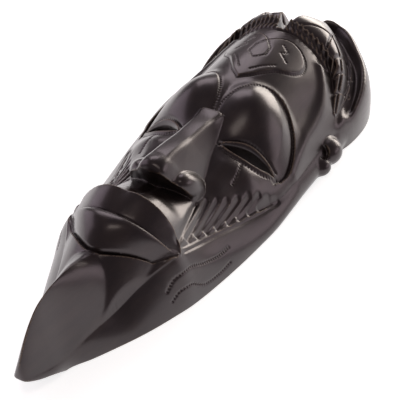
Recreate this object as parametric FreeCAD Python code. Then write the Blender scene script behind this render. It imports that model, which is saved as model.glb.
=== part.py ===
"""Carved hardwood wall mask, lying on its back: face up, chin towards -Y, crown towards +Y.

The mask is one hollowed block. A steel ring hanger is screwed into a recess behind the crown.
While modelling, Y is measured from the chin tip and Z from the back plane, all in millimetres.
At the end everything is shifted along Y, so that the origin is under the middle of the mask.
"""

import FreeCAD, Part
import math
import os
from FreeCAD import Vector

# Block: one station per row, as Y, half-width at the back, height of the back edge,
# half-width and height of the jaw edge, height at the middle, roundness of the front
STATIONS = [
    (-5, 5, 12, 5, 15, 21, 1.5),
    (5, 9, 8, 8, 14, 42, 1.3),
    (17, 12, 5, 11, 12, 56, 1.2),
    (30, 14, -1, 14, 12, 61, 1.2),
    (45, 23, -6, 18, 17, 62, 1.35),
    (60, 31, -6, 21.5, 19, 61, 1.6),
    (75, 38.5, -6, 25, 21.5, 57, 1.8),
    (90, 45, -6, 30, 25.5, 54, 2.0),
    (105, 50.5, -6, 36.5, 30, 55, 2.2),
    (118, 55, -6, 43, 33, 58, 2.2),
    (130, 58, -6, 44, 32, 57, 2.2),
    (150, 62, -6, 46, 28, 52, 2.2),
    (175, 66, -6, 51, 24, 47, 2.2),
    (200, 69, -6, 57, 19, 49, 2.4),
    (221, 71, -6, 63, 16, 54, 2.3),
    (245, 71, -6, 68, 16, 60, 2.1),
    (265, 71, -6, 69, 18, 66, 2.0),
    (300, 72, -6, 70, 20, 73, 2.0),
    (340, 73, -6, 71, 20, 76, 2.0),
    (370, 69, -6, 65, 20, 76, 2.1),
    (395, 60, -6, 56, 20, 70, 2.3),
    (415, 49, -6, 46, 20, 61, 2.4),
    (430, 37, -6, 34, 19, 50, 2.4),
    (440, 22, -6, 18, 16, 37, 2.2),
]
BLOCK_ROWS = 64
SIDE_STEPS = 5
FRONT_STEPS = 14
BELOW = 6.0

# Brow domes over the eyes
DOME_X, DOME_Y, DOME_RISE = 30.0, 270.0, 11.0
DOME_HALF_WIDTH, DOME_HALF_LENGTH = 36.0, 34.0

# Nose: Y, half-width, height of the ridge
NOSE = [
    (171, 25, 58),
    (174, 28, 68),
    (181, 25, 71),
    (190, 16, 69),
    (205, 10, 66),
    (225, 8, 65),
    (246, 8.5, 66),
    (257, 5, 60),
]
NOSE_ROOT_Z = 34.0

# Lips: distance from the middle, Y of the parting line, height of the crest
LIP_STATIONS = [(0, 105, 77), (16, 106, 74), (28, 110, 64), (38, 116, 51), (45, 122, 36)]
UPPER_LIP, LOWER_LIP = 19.0, 17.0
LIP_ROOT_Z = 16.0
LIP_ROWS = 17

# Eye slits, cut right through
EYE_X, EYE_Y = 37.0, 240.0
EYE_LENGTH, EYE_HEIGHT, EYE_LIFT = 47.0, 11.0, 4.0

# Ears
EAR_CENTRE = (69.0, 309.0, 10.0)
EAR_RADII = (13.0, 18.0, 11.5)

# Crest lobes: place along the lobe, plan X, plan Y, half-width, height
LOBE = [
    (0, 10, 438, 3, 28),
    (6, 14, 439, 9, 38),
    (20, 26, 434, 15, 45),
    (48, 46, 415, 17, 45),
    (84, 62, 387, 15, 38),
    (118, 67, 352, 13, 30),
    (150, 67, 322, 9, 22),
]
LOBE_ROWS = 24
LOBE_STEPS = 12

# Hollow behind the face
WALL = 13.0
HOLLOW_FROM, HOLLOW_TO = 62.0, 356.0
HOLLOW_ROWS = 24

# Ring hanger in its recess behind the crown
RECESS_DEPTH = 9.0
RECESS_HALF_WIDTH, RECESS_TO = 15.0, 404.0
STRAP_WIDTH, STRAP_THICK, STRAP_FROM = 12.0, 1.2, 360.0
WIRE_RADIUS, WIRE_CLEARANCE = 1.2, 0.1
CURL_Y, CURL_WIDTH = 385.0, 8.0
RING_HALF_BAR, RING_LENGTH, RING_CORNER = 8.5, 13.0, 4.0
SCREW_Y = (365.5, 376.0)
SCREW_SHANK_RADIUS, SCREW_LENGTH, SCREW_HEAD_RADIUS, SCREW_HEAD_HEIGHT = 1.5, 14.0, 3.0, 1.6
SCREW_SLOT_WIDTH, SCREW_SLOT_DEPTH = 0.7, 0.7
SCREW_FIT = 0.05
FLOOR_GAP = 0.3


def curve_value(points, at, column):
    """Smooth curve through a table's rows: a cubic with each row's slope set by its neighbours."""
    rows = [p[0] for p in points]
    at = min(max(at, rows[0]), rows[-1])
    i = max(k for k in range(len(rows) - 1) if rows[k] <= at)

    def slope(k):
        a, b = max(k - 1, 0), min(k + 1, len(rows) - 1)
        return (points[b][column] - points[a][column]) / (rows[b] - rows[a])

    gap = rows[i + 1] - rows[i]
    t = (at - rows[i]) / gap
    start, end = points[i][column], points[i + 1][column]
    return (
        start * (1 + 2 * t) * (1 - t) ** 2
        + end * t * t * (3 - 2 * t)
        + gap * slope(i) * t * (1 - t) ** 2
        - gap * slope(i + 1) * t * t * (1 - t)
    )


def dome(x, y):
    """Rise of the brow dome that this point of the face is on."""
    far = math.hypot((abs(x) - DOME_X) / DOME_HALF_WIDTH, (y - DOME_Y) / DOME_HALF_LENGTH)
    return DOME_RISE * (1 - far * far) ** 2 if far < 1 else 0.0


def section(y, inset=0.0):
    """Points of the block's outline at y, from the left back edge over the face to the right one."""
    side, back, jaw_x, jaw_z, top, power = (curve_value(STATIONS, y, k) for k in range(1, 7))
    side, jaw_x, jaw_z, top = side - inset, jaw_x - inset, jaw_z - 0.6 * inset, top - inset
    half = []
    for k in range(SIDE_STEPS):
        share = k / SIDE_STEPS
        belly = 0.2 * share * (1 - share) * side
        half.append((side + (jaw_x - side) * share + belly, back + (jaw_z - back) * share))
    for k in range(FRONT_STEPS + 1):
        share = 1 - k / FRONT_STEPS
        rise = 0.0 if inset else dome(jaw_x * share, y)
        half.append((jaw_x * share, top - (top - jaw_z) * share**power + rise))
    left = [Vector(-x, y, z) for x, z in half]
    right = [Vector(x, y, z) for x, z in reversed(half[:-1])]
    return left + right


def net_surface(rows):
    """Smooth surface drawn over a net of control points, with no overshoot between them."""
    surface = Part.BSplineSurface()
    knots, counts = [], []
    for size in (len(rows), len(rows[0])):
        knots.append([float(k) for k in range(size - 2)])
        counts.append([4] + [1] * (size - 4) + [4])
    surface.buildFromPolesMultsKnots(rows, *counts, *knots, False, False, 3, 3)
    return surface


def skin_solid(rows):
    """Solid under a smooth skin, closed by a flat bottom and an upright flat at each end."""
    surface = net_surface(rows)
    u0, u1, v0, v1 = surface.bounds()
    lines = [Part.makeLine(row[0], row[-1]) for row in (rows[0], rows[-1])]
    faces = [surface.toShape()]
    for u, line in zip((u0, u1), lines):
        faces.append(Part.Face(Part.Wire([surface.uIso(u).toShape(), line])))
    sides = [surface.vIso(v).toShape() for v in (v0, v1)]
    faces.append(Part.makeRuledSurface(*sides))
    shell = Part.makeShell(faces)
    shell.sewShape()
    solid = Part.Solid(shell)
    if solid.Volume < 0:
        solid.reverse()
    return solid


def spaced(start, end, count):
    return [start + (end - start) * k / (count - 1) for k in range(count)]


def block():
    ends = STATIONS[0][0], STATIONS[-1][0]
    return skin_solid([section(y) for y in spaced(*ends, BLOCK_ROWS)])


def hollow():
    return skin_solid([section(y, WALL) for y in spaced(HOLLOW_FROM, HOLLOW_TO, HOLLOW_ROWS)])


def loop_wire(points):
    """Closed wire: a smooth curve through the points and a straight line back to the first."""
    curve = Part.BSplineCurve()
    curve.interpolate(points)
    return Part.Wire([curve.toShape(), Part.makeLine(points[-1], points[0])])


def nose():
    wires = []
    for y, half, top in NOSE:
        low, rise = NOSE_ROOT_Z, top - NOSE_ROOT_Z
        arch = [(half, 0), (0.93 * half, 0.45), (0.62 * half, 0.84), (0, 1)]
        left = [Vector(-x, y, low + rise * z) for x, z in arch]
        right = [Vector(x, y, low + rise * z) for x, z in reversed(arch[:-1])]
        wires.append(loop_wire(left + right))
    return Part.makeLoft(wires, True)


def lip(sign, height):
    """One lip: lens sections across the mouth that shrink towards its corners."""
    rows = []
    corner = LIP_STATIONS[-1][0]
    for x in spaced(-corner, corner, LIP_ROWS):
        y, top = (curve_value(LIP_STATIONS, abs(x), k) for k in (1, 2))
        wide = height * math.sqrt(max(1 - (x / corner) ** 2, 0.02))
        rise = top - LIP_ROOT_Z
        arch = [(0, 0), (0, 0.5), (0, 0.95), (0.2, 1.03), (0.6, 1.0), (1.1, 0.8), (0.8, 0.5), (0.8, 0)]
        rows.append([Vector(x, y + sign * wide * a, LIP_ROOT_Z + rise * z) for a, z in arch])
    return skin_solid(rows)


def ellipsoid(centre, radii):
    ball = Part.makeSphere(1.0)
    stretch = FreeCAD.Matrix()
    stretch.scale(*radii)
    ball = ball.transformGeometry(stretch)
    ball.translate(Vector(*centre))
    return ball


def crest_lobe(side):
    """Half-round ridge that sweeps from beside the notch in the crown down to the ear."""
    rows = []
    ends = LOBE[0][0], LOBE[-1][0]
    for at in spaced(*ends, LOBE_ROWS):
        x, y, half, top = (curve_value(LOBE, at, k) for k in range(1, 5))
        ahead = [curve_value(LOBE, at + 0.01, k) - curve_value(LOBE, at - 0.01, k) for k in (1, 2)]
        along = Vector(*ahead, 0).normalize()
        across = Vector(along.y, -along.x, 0)
        row = []
        for k in range(LOBE_STEPS + 1):
            turn = math.pi * k / LOBE_STEPS
            out = across * (-half * math.cos(turn))
            row.append(Vector(x, y, top * math.sin(turn) ** 0.8) + out)
        row = [row[0] - Vector(0, 0, BELOW)] + row + [row[-1] - Vector(0, 0, BELOW)]
        rows.append([Vector(side * p.x, p.y, p.z) for p in row])
    return skin_solid(rows)


def eye_slit(side):
    """Almond-shaped prism that cuts an eye opening through the face."""
    x, reach = side * EYE_X, side * EYE_LENGTH / 2
    inner = Vector(x - reach, EYE_Y - EYE_LIFT, -1)
    outer = Vector(x + reach, EYE_Y + EYE_LIFT, -1)
    upper = Part.Arc(inner, Vector(x, EYE_Y + 0.62 * EYE_HEIGHT, -1), outer)
    lower = Part.Arc(outer, Vector(x, EYE_Y - 0.38 * EYE_HEIGHT, -1), inner)
    almond = Part.Face(Part.Wire([upper.toShape(), lower.toShape()]))
    return almond.extrude(Vector(0, 0, 90))


def box(x0, x1, y0, y1, z0, z1):
    return Part.makeBox(x1 - x0, y1 - y0, z1 - z0, Vector(x0, y0, z0))


def recess():
    half = RECESS_HALF_WIDTH
    pocket = box(-half, half, HOLLOW_TO - 8, RECESS_TO, -1, RECESS_DEPTH)
    corners = [e for e in pocket.Edges if abs(e.tangentAt(e.FirstParameter).z) > 0.9]
    far = [e for e in corners if e.CenterOfMass.y > RECESS_TO - 1]
    return pocket.makeFillet(6.0, far)


def mask_carving():
    solid = block()
    for side in (-1, 1):
        x, y, z = EAR_CENTRE
        solid = solid.fuse(crest_lobe(side))
        solid = solid.fuse(ellipsoid((side * x, y, z), EAR_RADII))
    for piece in (nose(), lip(1, UPPER_LIP), lip(-1, LOWER_LIP)):
        solid = solid.fuse(piece)
    solid = solid.common(box(-200, 200, -50, 500, 0, 200))
    for cutter in (hollow(), recess(), eye_slit(-1), eye_slit(1)):
        solid = solid.cut(cutter)
    for y in SCREW_Y:
        solid = solid.cut(screw_shank(y, SCREW_SHANK_RADIUS + SCREW_FIT))
    return solid


def curl_axis_z():
    return RECESS_DEPTH - STRAP_THICK - WIRE_RADIUS - WIRE_CLEARANCE


def cylinder_x(radius, half_length, y, z):
    return Part.makeCylinder(radius, 2 * half_length, Vector(-half_length, y, z), Vector(1, 0, 0))


def hanger_strap():
    """Steel strap: a plate with two screw holes, and a curl that holds the ring."""
    half = STRAP_WIDTH / 2
    ceiling = RECESS_DEPTH
    plate = box(-half, half, STRAP_FROM, CURL_Y - 4, ceiling - STRAP_THICK, ceiling)
    ends = [e for e in plate.Edges if abs(e.tangentAt(e.FirstParameter).z) > 0.9]
    plate = plate.makeFillet(3.0, [e for e in ends if e.CenterOfMass.y < STRAP_FROM + 1])
    neck = box(-CURL_WIDTH / 2, CURL_WIDTH / 2, CURL_Y - 5, CURL_Y, ceiling - STRAP_THICK, ceiling)
    bore = WIRE_RADIUS + WIRE_CLEARANCE
    curl = cylinder_x(bore + STRAP_THICK, CURL_WIDTH / 2, CURL_Y, curl_axis_z())
    strap = plate.fuse([neck, curl]).cut(cylinder_x(bore, CURL_WIDTH, CURL_Y, curl_axis_z()))
    for y in SCREW_Y:
        hole = Part.makeCylinder(SCREW_SHANK_RADIUS + SCREW_FIT, 4, Vector(0, y, ceiling - 2))
        strap = strap.cut(hole)
    return strap.removeSplitter()


def ring_tilt():
    """Angle at which the ring, hanging from the curl, all but touches the surface below."""
    drop = curl_axis_z() - WIRE_RADIUS - FLOOR_GAP
    return math.degrees(math.asin(drop / RING_LENGTH))


def hanger_ring():
    """Wire ring with a straight bar through the curl and rounded corners, tilted as it hangs."""
    half, far, r = RING_HALF_BAR, RING_LENGTH, RING_CORNER
    corners = [(-half, 0), (half, 0), (half - 2.5, far), (2.5 - half, far)]
    path = Part.makePolygon([Vector(x, y, 0) for x, y in corners + corners[:1]])
    radii = (2.2, 2.2, r, r)
    edges, starts = [], []
    for k, (x, y) in enumerate(corners):
        here = Vector(x, y, 0)
        before = (Vector(*corners[k - 1], 0) - here).normalize()
        after = (Vector(*corners[(k + 1) % 4], 0) - here).normalize()
        reach = radii[k] / math.tan(before.getAngle(after) / 2)
        first, last = here + before * reach, here + after * reach
        middle = here + (before + after).normalize() * (
            radii[k] / math.sin(before.getAngle(after) / 2) - radii[k]
        )
        edges.append(Part.Arc(first, middle, last).toShape())
        starts.append((first, last))
    for k in range(4):
        edges.append(Part.makeLine(starts[k][1], starts[(k + 1) % 4][0]))
    path = Part.Wire(Part.__sortEdges__(edges))
    begin = path.Edges[0].valueAt(path.Edges[0].FirstParameter)
    tangent = path.Edges[0].tangentAt(path.Edges[0].FirstParameter)
    profile = Part.Wire(Part.makeCircle(WIRE_RADIUS, begin, tangent))
    ring = path.makePipeShell([profile], True, False)
    ring.rotate(Vector(0, 0, 0), Vector(1, 0, 0), -ring_tilt())
    ring.translate(Vector(0, CURL_Y, curl_axis_z()))
    return ring


def screw_shank(y, radius):
    top = RECESS_DEPTH - STRAP_THICK + SCREW_LENGTH
    shank = Part.makeCylinder(radius, SCREW_LENGTH - 3, Vector(0, y, top - SCREW_LENGTH))
    point = Part.makeCone(radius, 0.3, 3, Vector(0, y, top - 3))
    return shank.fuse(point)


def hanger_screws():
    """Two slotted round-head wood screws through the strap."""
    face = RECESS_DEPTH - STRAP_THICK
    screws = []
    for y in SCREW_Y:
        head = Part.makeCylinder(SCREW_HEAD_RADIUS, SCREW_HEAD_HEIGHT, Vector(0, y, face - SCREW_HEAD_HEIGHT))
        rim = [e for e in head.Edges if abs(e.CenterOfMass.z - face + SCREW_HEAD_HEIGHT) < 0.01]
        head = head.makeFillet(1.0, [e for e in rim if e.Closed][:1])
        reach, half = SCREW_HEAD_RADIUS + 1, SCREW_SLOT_WIDTH / 2
        low = face - SCREW_HEAD_HEIGHT
        slot = box(-reach, reach, y - half, y + half, low - 1, low + SCREW_SLOT_DEPTH)
        screws.append(head.cut(slot).fuse(screw_shank(y, SCREW_SHANK_RADIUS)))
    return Part.makeCompound(screws)


def main():
    os.makedirs("parts", exist_ok=True)
    shapes = {
        "mask_carving": mask_carving(),
        "hanger_strap": hanger_strap(),
        "hanger_ring": hanger_ring(),
        "hanger_screws": hanger_screws(),
    }
    bounds = shapes["mask_carving"].optimalBoundingBox(False, False)
    shift = Vector(0, -(bounds.YMin + bounds.YMax) / 2, 0)
    for name, shape in shapes.items():
        shape.translate(shift)
        solids = shape.Solids
        print(name, "solids", len(solids), "valid", shape.isValid(), "volume", round(shape.Volume))
        shape.exportStep(f"parts/{name}.step")
    print("shift", round(shift.y, 4), "size", bounds)
    print("curl axis y, z:", round(CURL_Y + shift.y, 3), round(curl_axis_z(), 3))
    print("ring tilt:", round(ring_tilt(), 3))


main()
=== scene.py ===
"""A carved hardwood wall mask lying on its back, with the ring hanger that is let in behind it."""

import math

import bpy
import numpy as np
import openvdb
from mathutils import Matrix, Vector


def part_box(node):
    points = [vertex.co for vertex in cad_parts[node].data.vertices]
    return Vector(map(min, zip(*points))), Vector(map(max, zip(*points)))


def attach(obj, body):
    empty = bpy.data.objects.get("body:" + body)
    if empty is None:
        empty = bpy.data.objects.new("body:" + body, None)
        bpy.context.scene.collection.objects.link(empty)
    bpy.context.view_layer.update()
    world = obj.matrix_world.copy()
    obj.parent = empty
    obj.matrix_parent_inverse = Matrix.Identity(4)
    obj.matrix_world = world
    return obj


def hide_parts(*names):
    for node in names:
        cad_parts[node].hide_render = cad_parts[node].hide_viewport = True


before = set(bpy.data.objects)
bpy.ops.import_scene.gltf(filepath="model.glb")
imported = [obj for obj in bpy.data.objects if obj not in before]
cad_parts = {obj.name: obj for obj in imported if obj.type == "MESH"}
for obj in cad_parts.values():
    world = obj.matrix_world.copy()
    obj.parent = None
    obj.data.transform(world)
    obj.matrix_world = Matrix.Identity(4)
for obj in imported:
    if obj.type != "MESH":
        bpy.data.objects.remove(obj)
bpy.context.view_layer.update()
mask_low, mask_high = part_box("mask_carving")

# The carving is laid out in millimetres: X from the middle plane, Y from near the chin tip, Z from
# the back. The chin tip stands CHIN_LEAD before Y = 0.
MM = 0.001
CHIN_LEAD = 5.0
Y_SHIFT = mask_low.y / MM + CHIN_LEAD

# Spacing of the grid that samples the solid, empty room kept round it, and faces left on the skin
VOXEL, MARGIN, SKIN_FACES = 0.7, 4.0, 198000
# Spacing and reach of the finer grid over the plan that holds the relief
FINE = 0.3
PLAN_HALF, PLAN_FROM, PLAN_TO = 96, -12, 462
# Stands for nothing there, in a height or in a cut, and is low enough to leave the rest as it is
ABSENT = -9.0

# Block, one station per row, as Y, half-width at the back, height of the back edge,
# half-width and height of the jaw edge, height at the middle, roundness of the front
STATIONS = np.array([
    (-5, 4, 15, 4, 17, 21, 1.5),
    (5, 8, 10, 7.5, 15, 42, 1.3),
    (17, 12, 6, 11, 13, 56, 1.2),
    (30, 14, -1, 14, 12, 61, 1.2),
    (45, 23, -6, 18, 17, 62, 1.35),
    (60, 31, -6, 21.5, 19, 61, 1.6),
    (75, 38.5, -6, 25, 21.5, 57, 1.8),
    (90, 45, -6, 30, 28.5, 54, 2.0),
    (105, 50.5, -6, 36.5, 35, 55, 2.2),
    (118, 55, -6, 43, 40, 58, 2.2),
    (130, 58, -6, 44, 37, 57, 2.2),
    (150, 62, -6, 46, 30.5, 52, 2.2),
    (175, 66, -6, 51, 24.5, 47, 2.2),
    (200, 69, -6, 57, 19, 49, 2.4),
    (221, 71, -6, 63, 16, 54, 2.3),
    (245, 71, -6, 68, 16, 60, 2.1),
    (265, 71, -6, 69, 18, 66, 2.0),
    (300, 72, -6, 70, 20, 73, 2.0),
    (340, 73, -6, 71, 20, 76, 2.0),
    (370, 69, -6, 65, 20, 76, 2.1),
    (395, 60, -6, 56, 20, 70, 2.3),
    (415, 49, -6, 46, 20, 61, 2.4),
    (430, 37, -6, 34, 19, 50, 2.4),
    (440, 22, -6, 18, 16, 37, 2.2),
], float)
# Swell of the flank between its back edge and the jaw edge, as a share of the half-width
FLANK_BELLY = 0.2
# How much narrower the block is on the side of negative X, along the face and further up the head
NARROW_FACE, NARROW_HEAD = 0.03, 0.13

# Mouth: half-width, Y of the parting line and its rise to the corners, height and its fall
MOUTH_HALF, MOUTH_Y, MOUTH_RISE = 44.0, 109.0, 15.0
MOUTH_Z, MOUTH_FALL = 77.0, 36.0
# Lips, in plan: reach above and below the parting line
UPPER_LIP, LOWER_LIP = 19.0, 23.0
# Upper lip: how far it stands proud of the muzzle, and its fall to the parting line
LIP_STAND, LIP_FALL = 5.5, 8.0
# Lower lip: how deep it starts, its swell, its sag to the crease below, and the crease
LOWER_START, LOWER_SWELL, LOWER_SAG = 9.0, 13.0, 11.0
LEDGE_START, CREASE_DEPTH = 11.0, 1.8
MUZZLE_SLOPE = 0.45

# Nose: Y, height of the ridge, half-width of its flat top
NOSE = np.array([
    (168, 66, 9), (176, 74, 9), (184, 76, 8), (192, 76, 7), (208, 74, 6.5), (222, 71, 6.5),
    (240, 67, 7.5), (252, 66.5, 9), (262, 67, 9),
], float)
NOSE_BASE_Y, NOSE_TOP_Y = 173.0, 251.5
NOSE_ROOT_Z, NOSE_LEAN = 46.0, 0.6
# Its tip and wing: plan centre, plan radii, height of the foot, rise
NOSE_TIP = (0, 184, 16, 17, 46, 31)
NOSE_WING = (17, 183, 11.5, 15, 42, 21)

# Brow dome as plan centre and radii, and the eye by its corners, on the side of positive X
DOME = (30.0, 270.0, 36.0, 34.0)
DOME_RISE = 11.0
EYE_INNER, EYE_OUTER = (19.0, 231.5), (56.0, 244.5)
EYE_HALF_HEIGHT = 4.6
EYE_MIDDLE = np.add(EYE_INNER, EYE_OUTER) / 2
EYE_HALF = math.dist(EYE_INNER, EYE_OUTER) / 2
EYE_ALONG = np.subtract(EYE_OUTER, EYE_INNER) / (2 * EYE_HALF)

# Lines cut into the face on the side of positive X, as plan points
BROW_ARC = [(1.5, 254), (3.5, 267), (9, 281), (18, 291.5), (30, 297), (41, 295), (50, 287), (58, 273),
            (61.5, 258), (60, 246)]
TEAR = [(37.5, 227), (39, 216), (39, 203)]
PATCH = [(0, 293), (8, 300), (15, 309), (22, 318), (30, 325), (34.5, 334), (33, 345), (26, 352.5),
         (17, 355), (8, 352), (0, 346)]
ROPE = [(0, 369), (12, 371), (22, 371), (31, 371), (39, 370), (44, 368.5)]
TEMPLE = [(43, 358), (50, 348), (56, 334), (59.5, 312), (61.5, 290), (64, 278), (67, 262)]
MARKS = [
    [(0, 346), (7, 336), (8, 326), (0, 318)],
    [(14, 346), (20, 341), (16, 336), (24, 330)],
    [(5, 304), (12, 313), (19, 321)],
]
STRIPE_TOPS = [(28, 174), (32, 184), (37, 190.5), (42, 196.5), (46.5, 205), (51, 213.5),
               (55.5, 221.5), (60.5, 228.5), (65, 234.5)]
STRIPE_FEET = [(39, 127), (39.5, 140), (41, 151), (43, 161), (46, 172), (49, 184), (52, 195), (55, 206),
               (58, 216)]

# Hair roll: its edge behind the rope, its far edge, its lengthwise line and the cuts across it
HAIR_NEAR = [(2, 371), (22, 372), (34, 372), (41.6, 371), (50.3, 363.6), (58.5, 348.7), (63.5, 338)]
HAIR_FAR = [(2, 405), (21.8, 424.5), (42.7, 408.6), (54.1, 395.4), (61.1, 379.5), (65, 356), (65.5, 338)]
HAIR_MIDDLE = [(13.7, 377.9), (26.3, 390.2), (34.3, 394), (44.6, 387), (53.8, 373), (59, 357), (64, 341)]
HAIR_CUTS = [[(38, 378), (34, 398)], [(46, 372), (50, 398)], [(52, 364), (59, 384)],
             [(58, 353), (64, 368)]]
HAIR_RISE = 8.0

# Wavy lines on the flank, as Y and height
WAVES = [
    [(105, 21), (113, 28), (126, 28), (141, 22), (156, 18), (170, 17)],
    [(106, 13), (113, 18), (121, 18), (134, 10), (151, 8), (164, 9)],
]

# Crest lobe, one station per row, as place along it, plan X, plan Y, half-width, height
LOBE = np.array([
    (0, 9, 428, 5, 50), (6, 14, 432, 10, 54), (20, 26, 430, 14, 54), (48, 46, 412, 16, 48),
    (84, 62, 386, 15, 39), (118, 66, 352, 12, 30), (150, 64, 322, 6, 22),
], float)

# Where the valley in the crown starts, and where the steep cut of the lobe at negative X does
VALLEY_FROM, STEEP_FROM = 366.0, 384.0

# Ear: centre and radii of its upper curl, of its lower lip, and of the hollow between them
EAR_CURL = (70, 315, 12), (12, 13, 11)
EAR_LIP = (70, 299, 8), (10, 9, 8)
EAR_HOLLOW = (66, 304, 17), (9, 7, 8)

# Hollow behind the face, and the recess for the hanger
HOLLOW_WALL, HOLLOW_FROM, HOLLOW_TO = 13.0, 62.0, 356.0
RECESS_HALF, RECESS_FROM, RECESS_TO, RECESS_DEPTH, RECESS_CORNER = 15.0, 340.0, 404.0, 9.0, 6.0


def through(table, at, column):
    """Smooth curve through a table's rows, with each row's slope set by its neighbours."""
    rows = table[:, 0]
    at = np.clip(at, rows[0], rows[-1])
    i = np.clip(np.searchsorted(rows, at, side="right") - 1, 0, len(rows) - 2)
    slopes = np.gradient(table[:, column], rows)
    gap = rows[i + 1] - rows[i]
    t = (at - rows[i]) / gap
    ends = table[i, column] * (1 + 2 * t) * (1 - t) ** 2 + table[i + 1, column] * t * t * (3 - 2 * t)
    return ends + gap * slopes[i] * t * (1 - t) ** 2 - gap * slopes[i + 1] * t * t * (1 - t)


def blend_max(a, b, k):
    """Larger of two values, rounded over k where they cross."""
    h = np.clip(0.5 + 0.5 * (a - b) / k, 0, 1)
    return b + (a - b) * h + k * h * (1 - h)


def blend_min(a, b, k):
    """Smaller of two values, rounded over k where they cross."""
    return -blend_max(-a, -b, k)


def step(low, high, at):
    """Smooth rise from 0 at low to 1 at high."""
    t = np.clip((at - low) / (high - low), 0, 1)
    return t * t * (3 - 2 * t)


def bell(at, width):
    """Smooth hump of height 1 at 0."""
    return np.exp(-((at / width) ** 2))


def knob(x, y, cx, cy, rx, ry, foot, rise):
    """Height of half an ellipsoid with its middle on the plan at foot."""
    share = np.sqrt(np.clip(1 - ((x - cx) / rx) ** 2 - ((y - cy) / ry) ** 2, 0, 1))
    return np.where(share > 0, foot + rise * share, ABSENT)


def smooth_line(points, steps=8):
    """Plan points along a smooth curve through the given ones."""
    points = np.array(points, float)
    reach = np.r_[0, np.cumsum(np.hypot(*np.diff(points, axis=0).T))]
    table = np.c_[reach, points]
    at = np.linspace(0, reach[-1], (len(points) - 1) * steps + 1)
    return np.c_[through(table, at, 1), through(table, at, 2)]


def line_length(line):
    return float(np.hypot(*np.diff(line, axis=0).T).sum())


def nearest(line, x, y, reach):
    """Distance from a plan line, place along it and side of it, for the points within reach of it."""
    x, y = np.broadcast_arrays(x, y)
    away = np.full(x.shape, 1e3)
    along = np.zeros(x.shape)
    side = np.zeros(x.shape)
    low, high = line.min(0) - reach, line.max(0) + reach
    near = (x > low[0]) & (x < high[0]) & (y > low[1]) & (y < high[1])
    px, py = x[near], y[near]
    best = np.full(px.shape, 1e3)
    place = np.zeros(px.shape)
    hand = np.zeros(px.shape)
    done = 0.0
    for (ax, ay), (bx, by) in zip(line[:-1], line[1:]):
        length = math.hypot(bx - ax, by - ay)
        ux, uy = (bx - ax) / length, (by - ay) / length
        t = np.clip((px - ax) * ux + (py - ay) * uy, 0, length)
        dx, dy = px - ax - t * ux, py - ay - t * uy
        d = np.hypot(dx, dy)
        closer = d < best
        best = np.where(closer, d, best)
        place = np.where(closer, done + t, place)
        hand = np.where(closer, np.sign(ux * dy - uy * dx), hand)
        done += length
    away[near], along[near], side[near] = best, place, hand
    return away, along, side


def inside(outline, x, y):
    """True where a plan point lies within a closed outline."""
    x, y = np.broadcast_arrays(x, y)
    found = np.zeros(x.shape, bool)
    for (ax, ay), (bx, by) in zip(outline, np.roll(outline, -1, axis=0)):
        if ay != by:
            crossing = (ay > y) != (by > y)
            found ^= crossing & (x < (bx - ax) * (y - ay) / (by - ay) + ax)
    return found


def overlaps(y, low, high):
    """True if any of the points lies between two values of Y."""
    return y.max() > low and y.min() < high


# --- the face, as a height over the plan ---------------------------------------------------------


def mouth(x, y, h):
    """Muzzle, both lips and the ledge below them.

    t runs from 0 at the middle to 1 at the corner, and up and down run from 0 at the parting line
    to 1 at the far edge of each lip.
    """
    t = np.clip(x / MOUTH_HALF, 0, 1.25)
    crest = MOUTH_Z - MOUTH_FALL * t**2.5
    parting = MOUTH_Y + MOUTH_RISE * t**2.6
    soft = np.sqrt(t * t + 0.09) - 0.3
    open_up = UPPER_LIP * np.clip(1 - t**3.5, 0.0004, 1) ** 0.7
    open_down = LOWER_LIP * np.clip(1 - soft / 0.745, 0.0004, 1) ** 1.2 + 0.6
    up = (y - parting) / open_up
    down = (parting - y) / open_down
    skin = crest - LIP_STAND - MUZZLE_SLOPE * np.abs(y - parting - open_up)
    skin -= 2.5 * bell(x, 4.5) * step(130, 138, y) * step(176, 166, y)
    skin = np.where(y > parting - 2, skin, ABSENT)
    h = blend_max(h, skin - 25 * step(0.98, 1.25, t), 4)
    upper = crest - LIP_FALL * np.clip(1 - up, 0, 1) ** 1.15 - 1.5 * step(0.08, -0.02, up)
    upper -= 1.2 * bell(x, 6) * step(0.3, 1, up)
    upper = np.where((up > -0.05) & (t < 1), upper - 60 * np.clip(up - 0.96, 0, 1), ABSENT)
    sag = (LOWER_SAG - 3 * np.sin(np.pi * np.clip(soft, 0, 1))) * step(1.0, 0.75, t)
    swell = np.clip(down, 0, 1) ** 0.6
    lower = crest - LOWER_START + LOWER_SWELL * swell * (1 - swell)
    lower -= sag * np.clip(down, 0, 2) ** 2.6
    lower = np.where((down > -0.05) & (t < 1), lower - 60 * np.clip(down - 1, 0, 1), ABSENT)
    below = parting - open_down - y
    ledge = crest - LEDGE_START - sag - 0.9 * np.abs(below - 3.5)
    ledge = np.where((below > 0) & (t < 0.98), ledge, ABSENT)
    h = blend_max(h, ledge, 1.5) - CREASE_DEPTH * bell(below - 1.2, 1.4) * (t < 0.98)
    return blend_max(h, np.maximum(upper, lower), 0.5)


def nose(x, y, h):
    """Ridge, flanks, tip and wings, cut off square at the base and at the root."""
    ridge, flat = through(NOSE, y, 1), through(NOSE, y, 2)
    beyond = blend_max(x - flat, 0 * x, 2.0)
    shape = ridge - 0.012 * x * x - 1.5 * beyond
    body = 62 - 1.3 * blend_max(y - 188, 0 * y, 4) - 2.6 * blend_max(x - 18, 0 * x, 3)
    shape = blend_max(shape, body, 2)
    shape = blend_max(shape, knob(x, y, *NOSE_TIP), 4)
    shape = blend_max(shape, knob(x, y, *NOSE_WING), 1.6)
    under = np.clip(NOSE_BASE_Y + 1.0 - 1.5 * bell(x, 9) - y, 0, 9)
    shape -= 9 * under
    shape -= 3 * np.clip(y - NOSE_TOP_Y, 0, 9)
    within = (y > NOSE_BASE_Y - 6) & (y < NOSE_TOP_Y + 8)
    return blend_max(h, np.where(within, shape, ABSENT), 1.5)


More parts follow.
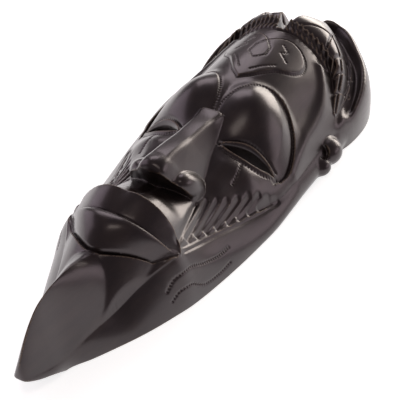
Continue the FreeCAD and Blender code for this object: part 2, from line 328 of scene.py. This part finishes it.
def brow(x, y, h):
    """Dome over the eye, with a crescent cut away along its outer side."""
    cx, cy, rx, ry = DOME
    r = np.hypot((x - cx) / rx, (y - cy) / ry)
    h = h + DOME_RISE * np.clip(1 - r * r, 0, 1) ** 2
    away, _, side = nearest(BROW_LINE, x, y, 14)
    outer = step(18, 40, x)
    wide = 0.5 + 8 * outer
    bevel = np.where(side < 0, np.clip(1 - away / wide, 0, 1), np.clip(1 - away / 1.5, 0, 1))
    return h - 3.4 * outer * bevel


def eye_frame(x, y):
    """Place along and across the eye: -1 and 1 at its corners, and millimetres above its middle."""
    ux, uy = EYE_ALONG
    dx, dy = x - EYE_MIDDLE[0], y - EYE_MIDDLE[1]
    return (dx * ux + dy * uy) / EYE_HALF, dy * ux - dx * uy


def eye(x, y, h):
    """Thin raised lids round the opening, in a sunken socket."""
    u, v = eye_frame(x, y)
    h = h - 2.5 * bell(u, 1.0) * bell(v - 3, 9)
    edge = np.abs(v) - EYE_HALF_HEIGHT * np.clip(1 - u * u, 0, 1)
    ends = step(1.16, 1.0, np.abs(u))
    h = h - 1.7 * bell(edge - 4.0, 0.9) * ends * (v > 0)
    return h + 1.7 * bell(edge - 1.6, 1.3) * ends


def cheek(x, y, h):
    """Swell under the eye, with a lower one beside the nose."""
    h = h + 3.0 * bell(x - 46, 13) * bell(y - 222, 9)
    return h + 1.6 * bell(x - 31, 7) * step(188, 202, y) * step(229, 218, y)


def temple(x, y, h):
    """Hollow of the temple and the soft ridge beyond it."""
    h = h - 3.2 * bell(x - 49, 9) * bell(y - 315, 26)
    away, _, _ = nearest(TEMPLE_LINE, x, y, 14)
    return h + 3.5 * bell(away, 4.5)


def rope(x, y, h):
    """Twisted rope along the hairline, set in a shallow channel."""
    away, along, side = nearest(ROPE_LINE, x, y, 12)
    h = h - 1.6 * bell(away - 4.2, 1.2)
    beads = 0.7 + 0.3 * np.cos(2 * np.pi * (along + 0.55 * away * side) / 4.6)
    beads = beads * step(ROPE_LENGTH + 3, ROPE_LENGTH - 4, along)
    return h + 2.8 * beads * np.sqrt(np.clip(1 - (away / 3.7) ** 2, 0, 1))


def stippled(line, x, y, depth=1.0, wide=1.0, pitch=2.3):
    """Groove with a row of small cuts along it."""
    away, along, _ = nearest(line, x, y, 5)
    return depth * bell(away, wide) * (0.62 + 0.38 * np.cos(2 * np.pi * along / pitch))


def patch(x, y, h):
    """Raised heart-shaped field on the forehead with plain zigzag marks."""
    away, along, _ = nearest(PATCH_LINE, x, y, 60)
    within = np.where(inside(PATCH_RING, x, y), away, -away)
    h = h + 1.5 * step(-0.7, 0.9, within)
    h = h - 1.0 * bell(within + 0.6, 0.8) * (0.7 + 0.3 * np.cos(2 * np.pi * along / 2.3))
    for line in MARK_LINES:
        h = h - stippled(line, x, y, 0.9, 0.8)
    return h


def relief(x, y):
    """Height of the carved front over the plan, before the nose is leant forward."""
    x = mirrored(x, y)
    jaw_x, jaw_z, top, power = (through(STATIONS, y, k) for k in (3, 4, 5, 6))
    h = top - (top - jaw_z) * np.minimum(x / jaw_x, 1) ** power - np.maximum(x - jaw_x, 0)
    h = h + 0.9 * bell(x - jaw_x + 0.6, 0.9) * step(22, 34, y) * step(128, 118, y)
    if overlaps(y, 60, 190):
        h = mouth(x, y, h)
    if overlaps(y, 130, 270):
        h = cheek(x, y, h)
        for stripe in STRIPES:
            away, _, _ = nearest(stripe, x, y, 5)
            h = h - 2.2 * bell(away, 1.5)
        for inset in (0.3, 3.0):
            h = h - 1.1 * bell((x - jaw_x + inset) * 0.8, 0.8) * step(126, 132, y) * step(236, 230, y)
    if overlaps(y, 215, 330):
        h = brow(x, y, h)
        h = eye(x, y, h)
        h = h - stippled(BROW_LINE, x, y, 1.3, 1.1)
        h = h - stippled(TEAR_LINE, x, y, 1.2, 1.0)
        for line in LID_LINES:
            h = h - stippled(line, x, y, 1.1, 0.9)
    if overlaps(y, 160, 262):
        h = nose(x, y, h)
    if overlaps(y, 240, 365):
        h = temple(x, y, h)
    if overlaps(y, 285, 365):
        h = patch(x, y, h)
    if overlaps(y, 305, 385):
        h = rope(x, y, h)
    return h


def lid_line(sign):
    """Plan line that follows the eye's upper (1) or lower (-1) lid."""
    u = np.linspace(-1.1, 1.1, 25)
    opening = EYE_HALF_HEIGHT * (1 - np.clip(u * u, 0, 1))
    v = sign * (opening + 4.4 * np.sqrt(np.clip(1.21 - u * u, 0, 1)))
    ux, uy = EYE_ALONG
    across = np.c_[u * EYE_HALF * ux - v * uy, u * EYE_HALF * uy + v * ux]
    return EYE_MIDDLE + across


BROW_LINE, TEAR_LINE = smooth_line(BROW_ARC), smooth_line(TEAR)
ROPE_LINE, TEMPLE_LINE = smooth_line(ROPE), smooth_line(TEMPLE)
ROPE_LENGTH = line_length(ROPE_LINE)
PATCH_LINE = smooth_line(PATCH)
PATCH_RING = np.r_[PATCH_LINE, PATCH_LINE[::-1] * (-1, 1)]
MARK_LINES = [np.array(line, float) for line in MARKS]
STRIPES = [np.array(ends, float) for ends in zip(STRIPE_TOPS, STRIPE_FEET)]
LID_LINES = [lid_line(1), lid_line(-1)]


# --- the carving as a solid: negative inside, positive outside -----------------------------------


def flank(y, z, inset=0.0):
    """Half-width of the block at each height."""
    side, back, jaw_x, jaw_z = (through(STATIONS, y, k) for k in (1, 2, 3, 4))
    side, jaw_x, jaw_z = side - inset, jaw_x - inset, jaw_z - 0.6 * inset
    back = np.maximum(back, 0)
    t = np.minimum((z - back) / np.maximum(jaw_z - back, 1), 1)
    above = np.maximum(z - jaw_z, 0)
    return side + (jaw_x - side) * t + FLANK_BELLY * side * np.clip(t * (1 - t), -0.4, 1) - 0.2 * above


def mirrored(x, y):
    """Distance from the middle plane, stretched at negative X, where the block is narrower."""
    narrowing = NARROW_FACE * step(20, 220, y) + NARROW_HEAD * step(270, 350, y)
    return np.where(x < 0, -x * (1 + narrowing), x)


def sampled(make):
    """A height over the plan, worked out once on a fine grid and read back between its points."""
    xs = np.arange(-PLAN_HALF, PLAN_HALF, FINE)
    ys = np.arange(PLAN_FROM, PLAN_TO, FINE)
    strips = [make(xs[:, None], ys[None, at : at + 32]) for at in range(0, len(ys), 32)]
    table = np.concatenate(strips, 1)

    def read(x, y):
        i = np.clip((x - xs[0]) / FINE, 0, len(xs) - 1.001)
        j = np.clip((y - ys[0]) / FINE, 0, len(ys) - 1.001)
        i0, j0 = i.astype(int), j.astype(int)
        s, t = i - i0, j - j0
        low = table[i0, j0] * (1 - s) + table[i0 + 1, j0] * s
        high = table[i0, j0 + 1] * (1 - s) + table[i0 + 1, j0 + 1] * s
        return low * (1 - t) + high * t

    return read


front = sampled(relief)


def level(x, y, z):
    """Distance above the carved front, corrected for its slope. The nose leans over its base."""
    lean = 0.0
    if overlaps(y, 140, 240):
        lean = NOSE_LEAN * step(142, 154, y) * step(238, 205, y)
        y = y + lean * np.clip(z - NOSE_ROOT_Z, 0, 40)
    e = 0.4
    sx = (front(x + e, y) - front(x - e, y)) / (2 * e)
    sy = (front(x, y + e) - front(x, y - e)) / (2 * e)
    rise = 1 - sy * lean * (z > NOSE_ROOT_Z)
    return (z - front(x, y)) / np.sqrt(rise**2 + np.clip(sx * sx + sy * sy, 0, 60))


def roll(x, y):
    """Swell of the hair between its two edges, cut into lozenges."""
    near, _, _ = nearest(HAIR_NEAR_LINE, x, y, 50)
    far, _, _ = nearest(HAIR_FAR_LINE, x, y, 50)
    wide = near + far
    share = near / wide
    within = inside(HAIR_RING, x, y)
    rise = np.minimum(HAIR_RISE, 0.45 * wide) * np.clip(4 * share * (1 - share), 0, 1) ** 0.75
    lines = sum(bell(nearest(line, x, y, 4)[0], 0.8) for line in HAIR_LINES)
    channel = 3.0 * bell(far - 4, 4.0) * (near > far) * step(376, 396, y + 0.5 * x)
    return np.where(within, rise, -channel) - 1.5 * np.clip(lines, 0, 1)


HAIR_NEAR_LINE, HAIR_FAR_LINE = smooth_line(HAIR_NEAR), smooth_line(HAIR_FAR)
HAIR_RING = np.r_[HAIR_NEAR_LINE, HAIR_FAR_LINE[::-1]]
HAIR_LINES = [smooth_line(HAIR_MIDDLE)]
HAIR_LINES += [np.array(line, float) for line in HAIR_CUTS]


def lobe(x, y, z):
    """Half-round crest lobe along its own line."""
    away, along, _ = nearest(LOBE_LINE, x, y, 60)
    at = along * LOBE_AT[-1] / LOBE_LENGTH
    half, top = through(LOBE, at, 3), through(LOBE, at, 4)
    r = (np.abs(away / half) ** 2.4 + np.abs(z / top) ** 2.4) ** (1 / 2.4)
    return (r - 1) * np.minimum(half, top)


LOBE_AT = np.linspace(LOBE[0, 0], LOBE[-1, 0], 40)
LOBE_LINE = np.c_[through(LOBE, LOBE_AT, 1), through(LOBE, LOBE_AT, 2)]
LOBE_LENGTH = line_length(LOBE_LINE)


def crested(solid, x, y, z, far_side):
    """Adds the hair roll and the two lobes, with the valley and the notch between them."""
    channel = roll(x, y)
    solid = solid - channel
    floor = 73 - 1.3 * (y - VALLEY_FROM - 5) + 6 * np.maximum(x - 3, 0)
    solid = blend_max(solid, np.where(y > VALLEY_FROM, (z - floor) / 4, ABSENT), 2)
    notch = (3 + 0.15 * (y - 405) - x) * 0.98
    lobes = blend_max(lobe(x, y, z), notch, 2)
    solid = blend_min(solid, lobes - np.minimum(channel, 0), 1.5)
    steep = (22 - x + 0.3 * (y - 408) + 0.5 * (z - 50)) * 0.85
    steep = np.where(far_side & (y > STEEP_FROM), np.minimum(steep, y - STEEP_FROM), ABSENT)
    return blend_max(solid, steep, 1.5)


def ball(x, y, z, centre, radii):
    """Distance from an ellipsoid, near enough."""
    q = [(p - c) / r for p, c, r in zip((x, y, z), centre, radii)]
    length = np.sqrt(q[0] ** 2 + q[1] ** 2 + q[2] ** 2)
    return (length - 1) * min(radii)


def ear(x, y, z):
    """Shell-like ear: a full upper curl and a lower lip round a hollow."""
    shape = blend_min(ball(x, y, z, *EAR_CURL), ball(x, y, z, *EAR_LIP), 2.5)
    return blend_max(shape, -ball(x, y, z, *EAR_HOLLOW), 1.5)


def hollow(x, y, z):
    """Hollow behind the face, with a wall of HOLLOW_WALL left and the marks of the gouge."""
    jaw_x, jaw_z, top, power = (through(STATIONS, y, k) for k in (3, 4, 5, 6))
    jaw_x, jaw_z, top = jaw_x - HOLLOW_WALL, jaw_z - 0.6 * HOLLOW_WALL, top - HOLLOW_WALL
    wide = np.maximum(jaw_x, 2)
    roof = top - (top - jaw_z) * (x / wide) ** np.maximum(power, 1.6)
    gouge = 0.5 * np.abs(np.sin(np.pi * x / 9 + 0.6 * np.sin(y / 11)))
    gouge = gouge + 0.3 * np.abs(np.sin(np.pi * y / 17))
    slope = np.sqrt(1 + (power * (top - jaw_z) / wide) ** 2 * np.clip(x / wide, 0, 1))
    cut = blend_max((z - roof) / slope + gouge, x - flank(y, z, HOLLOW_WALL), 5)
    ends = np.maximum(HOLLOW_FROM - y, y - HOLLOW_TO)
    return blend_max(cut, ends, 7)


def recess(x, y, z):
    """Shallow recess for the hanger, with its two upper corners rounded."""
    dx = np.maximum(x - RECESS_HALF + RECESS_CORNER, 0)
    dy = np.maximum(y - RECESS_TO + RECESS_CORNER, 0)
    side = np.hypot(dx, dy) - RECESS_CORNER
    return np.maximum(np.maximum(side, RECESS_FROM - y), z - RECESS_DEPTH)


def eye_cut(x, y):
    """Slit of the eye, cut right through."""
    u, v = eye_frame(x, y)
    return (np.abs(v) - EYE_HALF_HEIGHT * (1 - u * u)) / np.sqrt(1 + (0.5 * u) ** 2)


def waves(y, z):
    """Depth of the wavy lines on the flank."""
    return sum(stippled(line, y, z, 1.1, 0.9) for line in WAVE_LINES)


WAVE_LINES = [smooth_line(points) for points in WAVES]


def carving(x, y, z):
    """The whole carving: like halves, but for the lobe cut steeper and the ear lost at negative X."""
    far_side = x < 0
    solid = level(x, y, z)
    x = mirrored(x, y)
    back = through(STATIONS, y, 2)
    edge = 0.8 + 5.0 * step(130, 260, y)
    side = (x - flank(y, z)) * 0.95
    if overlaps(y, 100, 175):
        side = side + waves(y, z)
    solid = blend_max(solid, side, edge)
    solid = blend_max(solid, 1.0 - CHIN_LEAD - y, 3)
    if overlaps(y, 290, 470):
        solid = crested(solid, x, y, z, far_side)
        solid = blend_min(solid, np.where(far_side, -ABSENT, ear(x, y, z)), 2.0)
    solid = blend_max(solid, np.maximum(back, 0) - z, 1.0)
    if overlaps(y, HOLLOW_FROM - 8, HOLLOW_TO + 8):
        solid = blend_max(solid, -hollow(x, y, z), 1.5)
    if overlaps(y, RECESS_FROM - 4, RECESS_TO + 4):
        solid = np.maximum(solid, -recess(x, y, z))
    if overlaps(y, 220, 256):
        solid = blend_max(solid, -eye_cut(x, y), 0.8)
    return solid


# --- from the solid to a mesh --------------------------------------------------------------------


def field():
    """The solid sampled on a grid."""
    half_x = np.arange(0, mask_high.x / MM + MARGIN, VOXEL)
    all_x = np.r_[-half_x[:0:-1], half_x]
    all_y = np.arange(-CHIN_LEAD - MARGIN, (mask_high.y / MM - Y_SHIFT) + MARGIN, VOXEL)
    all_z = np.arange(-MARGIN, mask_high.z / MM + 2 * MARGIN, VOXEL)
    band = 3 * VOXEL
    slabs = []
    for at in range(0, len(all_y), 16):
        y = all_y[at : at + 16]
        made = carving(all_x[:, None, None], y[None, :, None], all_z[None, None, :])
        slabs.append(np.clip(made, -band, band).astype(np.float32))
    return np.concatenate(slabs, axis=1), np.array((all_x[0], all_y[0], all_z[0]))


def gradient(points):
    """Slope of the solid at each point."""
    e = 0.08
    out = np.empty_like(points)
    for k in range(3):
        move = np.zeros(3)
        move[k] = e
        ahead = carving(*(points + move).T)
        behind = carving(*(points - move).T)
        out[:, k] = (ahead - behind) / (2 * e)
    return out


def settle(points, rounds):
    """Moves points along the slope of the solid until they lie on its skin."""
    for _ in range(rounds):
        slope = gradient(points)
        square = np.maximum((slope**2).sum(1), 0.05)
        move = (carving(*points.T) / square)[:, None] * slope
        length = np.maximum(np.linalg.norm(move, axis=1), 1e-9)
        points = points - move * np.minimum(1, 0.6 * VOXEL / length)[:, None]
    return points


def mesh_points(mesh):
    points = np.empty(len(mesh.vertices) * 3)
    mesh.vertices.foreach_get("co", points)
    return points.reshape(-1, 3)


def thin_out(piece, faces):
    """Fewer faces, spent where the surface bends."""
    modifier = piece.modifiers.new("thin", "DECIMATE")
    modifier.ratio = faces / (2 * len(piece.data.polygons))
    depsgraph = bpy.context.evaluated_depsgraph_get()
    mesh = bpy.data.meshes.new_from_object(piece.evaluated_get(depsgraph))
    piece.modifiers.clear()
    piece.data = mesh


def carve():
    """The carving's skin as a new object, in the frame's place and units. Its faces are wound inward."""
    grid = openvdb.FloatGrid(3 * VOXEL)
    values, corner = field()
    grid.copyFromArray(values)
    points, quads = grid.convertToQuads(isovalue=0)
    mesh = bpy.data.meshes.new("mask_carving_skin")
    mesh.from_pydata((points * VOXEL + corner).tolist(), [], quads[:, ::-1].tolist())
    piece = bpy.data.objects.new("carved_mask", mesh)
    bpy.context.scene.collection.objects.link(piece)
    thin_out(piece, SKIN_FACES)
    mesh = piece.data
    points = settle(mesh_points(mesh), 3)
    points[:, 1] += Y_SHIFT
    mesh.vertices.foreach_set("co", (points * MM).ravel())
    mesh.polygons.foreach_set("use_smooth", np.ones(len(mesh.polygons), bool))
    mesh.update()
    return piece


def bends(mesh):
    """How sharply the skin bends at each point, evened out round it.

    With the faces wound inward it is above 0 along proud edges and below 0 in hollows.
    """
    points = mesh_points(mesh) / MM
    ends = np.empty(len(mesh.edges) * 2, int)
    mesh.edges.foreach_get("vertices", ends)
    a, b = ends.reshape(-1, 2).T
    normals = np.empty(len(points) * 3)
    mesh.vertex_normals.foreach_get("vector", normals)
    normals = normals.reshape(-1, 3)
    count = np.bincount(a, minlength=len(points)) + np.bincount(b, minlength=len(points))
    reach = points[b] - points[a]
    square = np.maximum((reach**2).sum(1), 0.01)
    bend_a = (reach * normals[a]).sum(1) / square
    bend_b = -(reach * normals[b]).sum(1) / square
    bend = (np.bincount(a, bend_a, len(points)) + np.bincount(b, bend_b, len(points))) / count
    for _ in range(2):
        beside = np.bincount(a, bend[b], len(points)) + np.bincount(b, bend[a], len(points))
        bend = 0.5 * bend + 0.5 * beside / count
    return bend


mask = carve()
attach(mask, "mask")
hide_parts("mask_carving")
bend = mask.data.attributes.new("bend", "FLOAT", "POINT")
bend.data.foreach_set("value", np.clip(0.5 + bends(mask.data), 0, 1).astype(np.float32))


# --- materials -----------------------------------------------------------------------------------


class Value:
    """A shader socket that takes part in ordinary arithmetic."""

    def __init__(self, finish, socket):
        self.finish = finish
        self.socket = socket

    def maths(self, operation, *others):
        inputs = dict(enumerate((self, *others)))
        return self.finish.node("ShaderNodeMath", {"operation": operation}, inputs)

    def __add__(self, other):
        return self.maths("ADD", other)

    def __mul__(self, other):
        return self.maths("MULTIPLY", other)

    def __sub__(self, other):
        return self.maths("SUBTRACT", other)

    def __rsub__(self, other):
        return (self * -1) + other

    __radd__ = __add__
    __rmul__ = __mul__

    def between(self, low, high):
        """0 at low and below, 1 at high and above."""
        settings = {"interpolation_type": "SMOOTHSTEP"}
        inputs = {"Value": self, "From Min": low, "From Max": high}
        return self.finish.node("ShaderNodeMapRange", settings, inputs)


class Finish:
    """A material, built one node at a time."""

    def __init__(self, name, **constants):
        self.material = bpy.data.materials.new(name)
        self.material.use_nodes = True
        self.shader = self.material.node_tree.nodes["Principled BSDF"]
        for socket, value in constants.items():
            self.shader.inputs[socket.replace("_", " ")].default_value = value

    def node(self, kind, settings, inputs, output=0):
        made = self.material.node_tree.nodes.new(kind)
        for name, value in settings.items():
            setattr(made, name, value)
        self.fill(made, inputs)
        return Value(self, made.outputs[output])

    def fill(self, node, inputs):
        for name, value in inputs.items():
            if isinstance(value, Value):
                self.material.node_tree.links.new(value.socket, node.inputs[name])
            else:
                node.inputs[name].default_value = value

    def place(self):
        return self.node("ShaderNodeTexCoord", {}, {}, "Object")

    def noise(self, scale, detail=3, stretch=(1, 1, 1), **more):
        at = self.node("ShaderNodeMapping", {}, {"Vector": self.place(), "Scale": stretch})
        inputs = {"Vector": at, "Scale": scale, "Detail": detail}
        inputs.update(more)
        return self.node("ShaderNodeTexNoise", {}, inputs)

    def mix(self, share, first, second):
        settings = {"data_type": "RGBA"}
        return self.node("ShaderNodeMix", settings, {0: share, 6: first, 7: second}, 2)

    def bump(self, height, strength, distance, below=None):
        inputs = {"Height": height, "Strength": strength, "Distance": distance}
        if below is not None:
            inputs["Normal"] = below
        return self.node("ShaderNodeBump", {}, inputs)


def stained_wood():
    """Near-black stained hardwood with a soft polish, pale worn edges and browner hollows."""
    wood = Finish("stained and polished hardwood", Coat_Weight=0.45, Coat_Roughness=0.22, Coat_IOR=1.5,
                  Specular_Tint=(1.0, 0.82, 0.87, 1))
    bend = wood.node("ShaderNodeAttribute", {"attribute_name": "bend"}, {}, "Fac")
    cloud = wood.noise(14, 4)
    grain = wood.noise(90, 4, (1, 0.07, 1), Roughness=0.6)
    specks = wood.noise(900, 2)
    scratches = wood.noise(420, 3, (1, 0.12, 1))
    worn = bend.between(0.56, 0.72) * specks.between(0.3, 0.55)
    brown = (1 - bend).between(0.56, 0.8) * cloud.between(0.3, 0.7)
    colour = wood.mix(grain.between(0.35, 0.7), (0.006, 0.0042, 0.004, 1), (0.016, 0.011, 0.009, 1))
    colour = wood.mix(brown * 0.5, colour, (0.045, 0.03, 0.021, 1))
    colour = wood.mix(worn * 0.75, colour, (0.16, 0.115, 0.078, 1))
    roughness = 0.27 + 0.12 * cloud + 0.12 * (scratches - 0.5) + 0.4 * worn - 0.04 * brown
    pores = wood.bump(grain, 0.12, 0.0004)
    marks = wood.bump(scratches, 0.12, 0.0002, pores)
    facets = wood.bump(wood.noise(42, 1), 0.25, 0.0012, marks)
    wood.fill(wood.shader, {"Base Color": colour, "Roughness": roughness, "Normal": facets})
    return wood.material


def brushed_steel():
    steel = Finish("zinc plated steel", Metallic=1.0)
    cloud = steel.noise(160, 3)
    rub = steel.noise(1200, 2, (0.06, 1, 1))
    colour = steel.mix(cloud, (0.34, 0.33, 0.31, 1), (0.52, 0.51, 0.48, 1))
    steel.fill(steel.shader, {
        "Base Color": colour,
        "Roughness": 0.34 + 0.2 * cloud,
        "Normal": steel.bump(rub, 0.2, 0.0001),
    })
    return steel.material


def aged_brass():
    brass = Finish("aged brass", Metallic=1.0)
    cloud = brass.noise(400, 3)
    colour = brass.mix(cloud.between(0.35, 0.75), (0.58, 0.38, 0.13, 1), (0.24, 0.14, 0.05, 1))
    brass.fill(brass.shader, {
        "Base Color": colour,
        "Roughness": 0.3 + 0.25 * cloud,
        "Normal": brass.bump(cloud, 0.15, 0.0001),
    })
    return brass.material


def finish_node(name, material):
    """Gives a part of the frame its material."""
    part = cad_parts[name]
    part.data.materials.clear()
    part.data.materials.append(material)


mask.data.materials.append(stained_wood())
steel = brushed_steel()
finish_node("hanger_strap", steel)
finish_node("hanger_ring", steel)
finish_node("hanger_screws", aged_brass())


# --- stage, camera and light ---------------------------------------------------------------------


def studio_floor():
    """White sweep that glows a little, so that it stays white."""
    mesh = bpy.data.meshes.new("floor")
    mesh.from_pydata([(-4, -4, 0), (4, -4, 0), (4, 4, 0), (-4, 4, 0)], [], [(0, 1, 2, 3)])
    floor = bpy.data.objects.new("floor", mesh)
    bpy.context.scene.collection.objects.link(floor)
    paint = Finish("white sweep", Roughness=0.9, Emission_Color=(1, 1, 1, 1), Emission_Strength=0.75)
    tone = paint.mix(paint.noise(3), (0.86, 0.86, 0.86, 1), (0.9, 0.9, 0.9, 1))
    paint.fill(paint.shader, {"Base Color": tone})
    floor.data.materials.append(paint.material)


# The camera looks down on the face from beyond the chin and to the side of positive X
AZIMUTH, ELEVATION, DISTANCE = math.radians(29.4), math.radians(38.0), 0.8485
SENSOR, LENS = 36.0, 105.5
AIM = Vector((0, (190 + Y_SHIFT) * MM, 0.040))


def towards(azimuth, elevation):
    """Unit vector from the mask; azimuth 0 is beyond the chin, 90 degrees towards positive X."""
    level_part = math.cos(elevation)
    return Vector((math.sin(azimuth) * level_part, -math.cos(azimuth) * level_part, math.sin(elevation)))


def add_camera():
    data = bpy.data.cameras.new("camera")
    data.sensor_width = SENSOR
    data.lens = LENS
    data.shift_x, data.shift_y = 0.0702, -0.0469
    camera = bpy.data.objects.new("camera", data)
    bpy.context.scene.collection.objects.link(camera)
    out = towards(AZIMUTH, ELEVATION)
    camera.location = AIM + out * DISTANCE
    camera.rotation_euler = (-out).to_track_quat("-Z", "Y").to_euler()
    bpy.context.scene.camera = camera


def softbox(name, azimuth, elevation, distance, size, power, colour):
    """Soft light standing off from the mask; azimuth 0 is beyond the chin, 90 towards positive X."""
    data = bpy.data.lights.new(name, "AREA")
    data.shape = "RECTANGLE"
    data.size, data.size_y = size
    data.energy = power
    data.color = colour
    lamp = bpy.data.objects.new(name, data)
    out = towards(math.radians(azimuth), math.radians(elevation))
    lamp.location = AIM + out * distance
    lamp.rotation_euler = out.to_track_quat("Z", "Y").to_euler()
    bpy.context.scene.collection.objects.link(lamp)


def surroundings(colour, strength):
    world = bpy.data.worlds.new("studio")
    world.use_nodes = True
    world.node_tree.nodes["Background"].inputs["Color"].default_value = colour
    world.node_tree.nodes["Background"].inputs["Strength"].default_value = strength
    bpy.context.scene.world = world


studio_floor()
add_camera()
softbox("back sheet", 172, 12, 1.5, (1.1, 0.6), 14, (1.0, 0.93, 0.84))
softbox("overhead softbox", 15, 66, 1.2, (0.5, 0.24), 1.1, (1.0, 0.92, 0.82))
softbox("far sheet", 214, 40, 1.5, (0.9, 0.7), 4.6, (1.0, 0.91, 0.96))
softbox("right sheet", 120, 15, 1.6, (1.0, 0.45), 2.4, (1.0, 0.88, 0.92))
softbox("left sheet", -85, 20, 1.3, (1.2, 0.8), 3.5, (1.0, 0.88, 1.0))
surroundings((1.0, 0.86, 0.92, 1), 0.18)
bpy.context.scene.view_settings.view_transform = "Standard"
